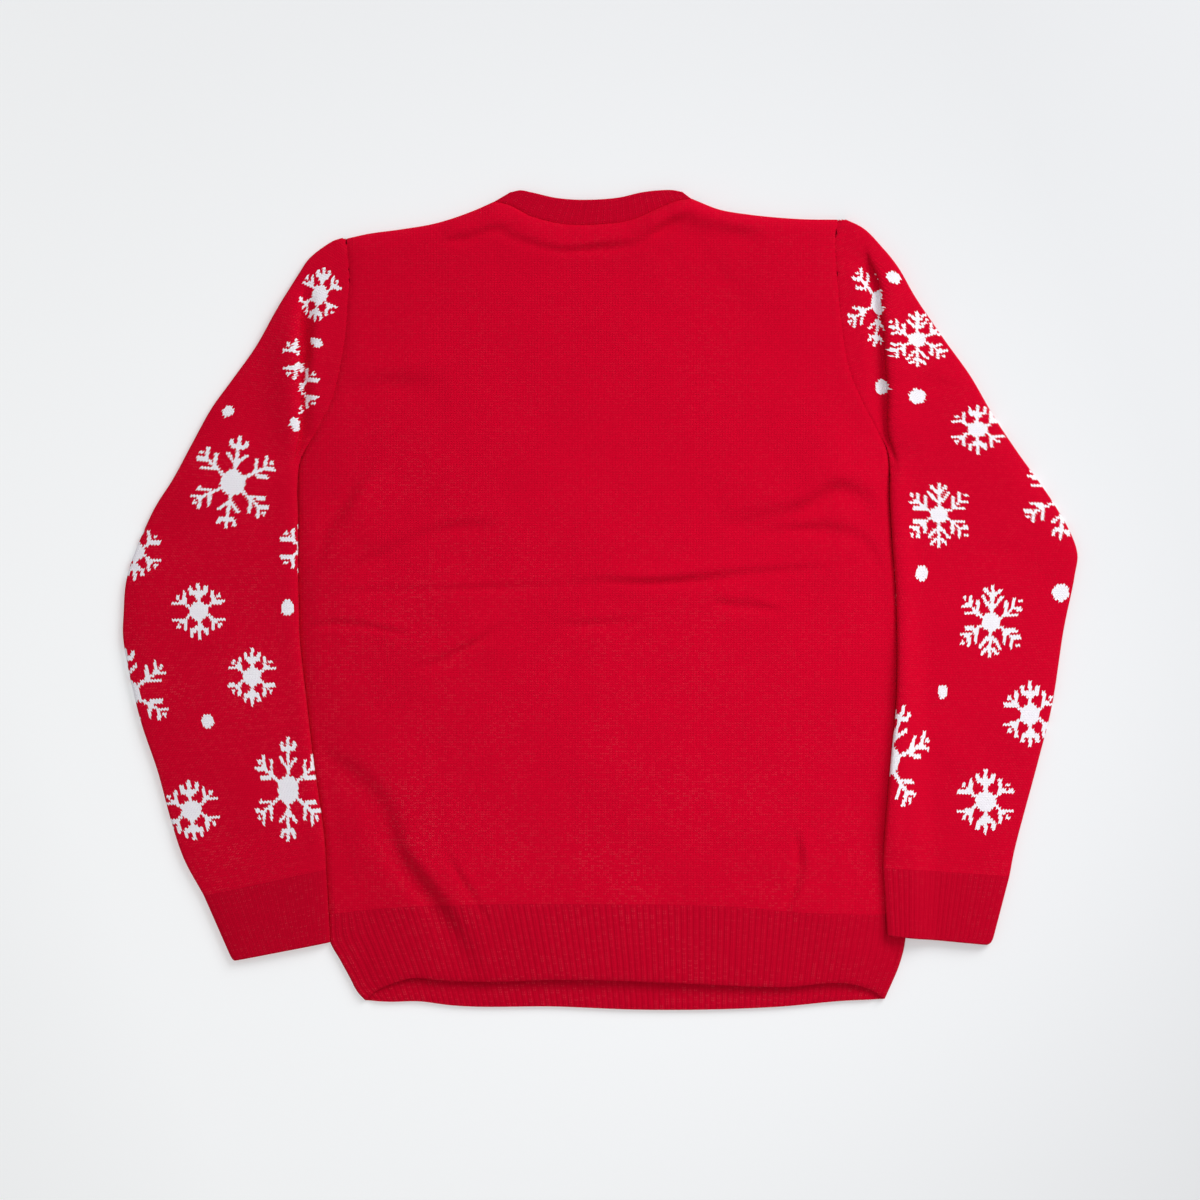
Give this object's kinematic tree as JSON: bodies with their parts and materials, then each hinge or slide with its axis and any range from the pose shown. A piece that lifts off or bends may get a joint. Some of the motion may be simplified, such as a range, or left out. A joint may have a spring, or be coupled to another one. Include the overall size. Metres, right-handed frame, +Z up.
{
  "type": "knitted christmas sweater",
  "caption": "Crew-neck knitted jumper laid flat on its front: plain back, snowflakes on the long sleeves, ribbed collar, cuffs and hem.",
  "frame": {"origin": "centre of the bounding box on the surface that the jumper lies on", "axes": "+X across the body towards the sleeve on the right as seen from above, +Y from the hem to the collar, +Z up from the surface"},
  "size_m": [0.8602, 0.7385, 0.0141],
  "materials": {
    "red_knit": "plain red stocking stitch, matt, with a soft sheen",
    "patterned_knit": "red stocking stitch with knitted-in white snowflakes and dots",
    "red_rib": "red one-by-one rib, matt"
  },
  "bodies": {
    "root": {"front_panel": "red_knit", "back_panel": "red_knit", "hem_rib_front": "red_rib", "hem_rib_back": "red_rib", "sleeve_left": "patterned_knit", "sleeve_right": "patterned_knit", "cuff_left": "red_rib", "cuff_right": "red_rib", "neckband": "red_rib"}
  },
  "joints": []
}
